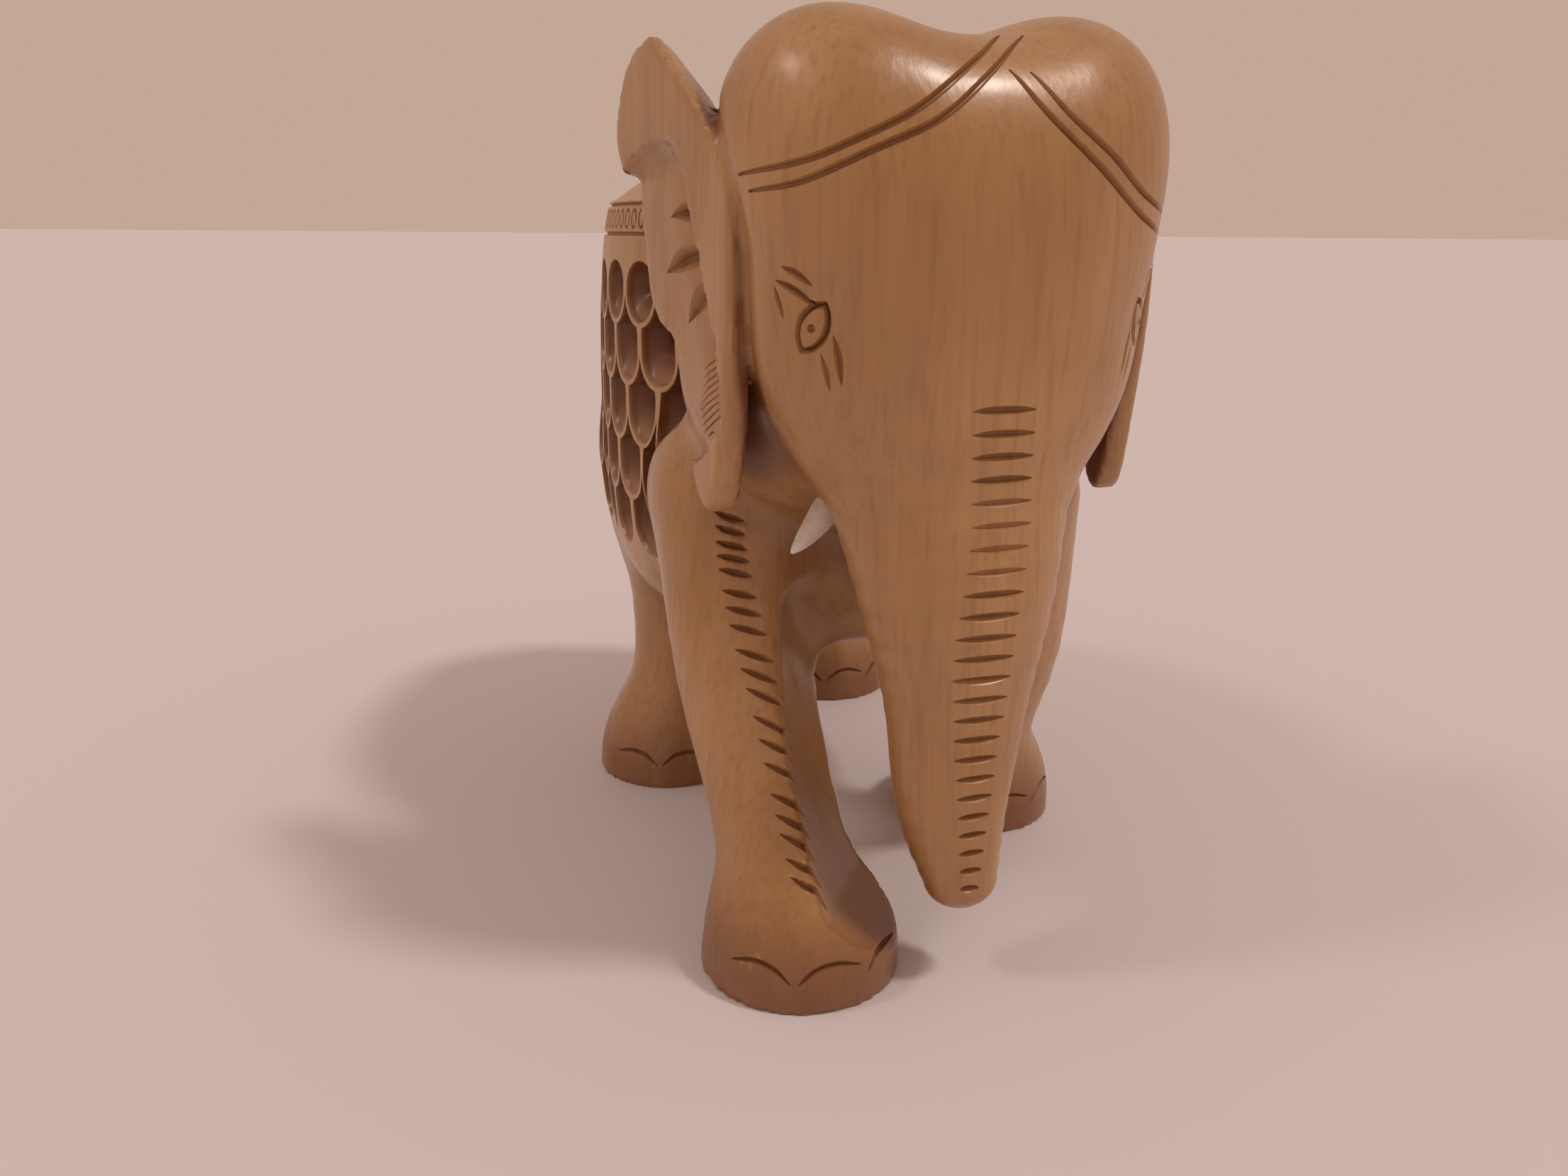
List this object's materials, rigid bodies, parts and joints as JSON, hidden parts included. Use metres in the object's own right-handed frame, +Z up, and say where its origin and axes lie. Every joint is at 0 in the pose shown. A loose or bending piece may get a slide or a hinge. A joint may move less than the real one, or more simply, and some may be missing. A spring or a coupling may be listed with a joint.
{
  "type": "carved wooden elephant",
  "caption": "Standing elephant figurine carved from one wood block, with a pierced lattice belly and white tusks. The loose calf inside the belly is assumed.",
  "frame": {"origin": "centre of the bounding box at the level of the foot soles", "axes": "+Z up; the elephant faces -Y, its tail is at +Y and its right side is at -X"},
  "size_m": [0.0783, 0.146, 0.1292],
  "materials": {
    "carved_wood": "wax-polished, satin",
    "calf_wood": "bare, matt",
    "white_inlay": "smooth, glossy"
  },
  "bodies": {
    "elephant": {"body": "carved_wood", "tusk_right": "white_inlay", "tusk_left": "white_inlay"},
    "calf": {"calf": "calf_wood"}
  },
  "joints": [
    {"name": "calf_slide", "type": "slide", "parent": "elephant", "child": "calf", "axis": [0, 1, 0], "range_m": [-0.004, 0.004]}
  ]
}
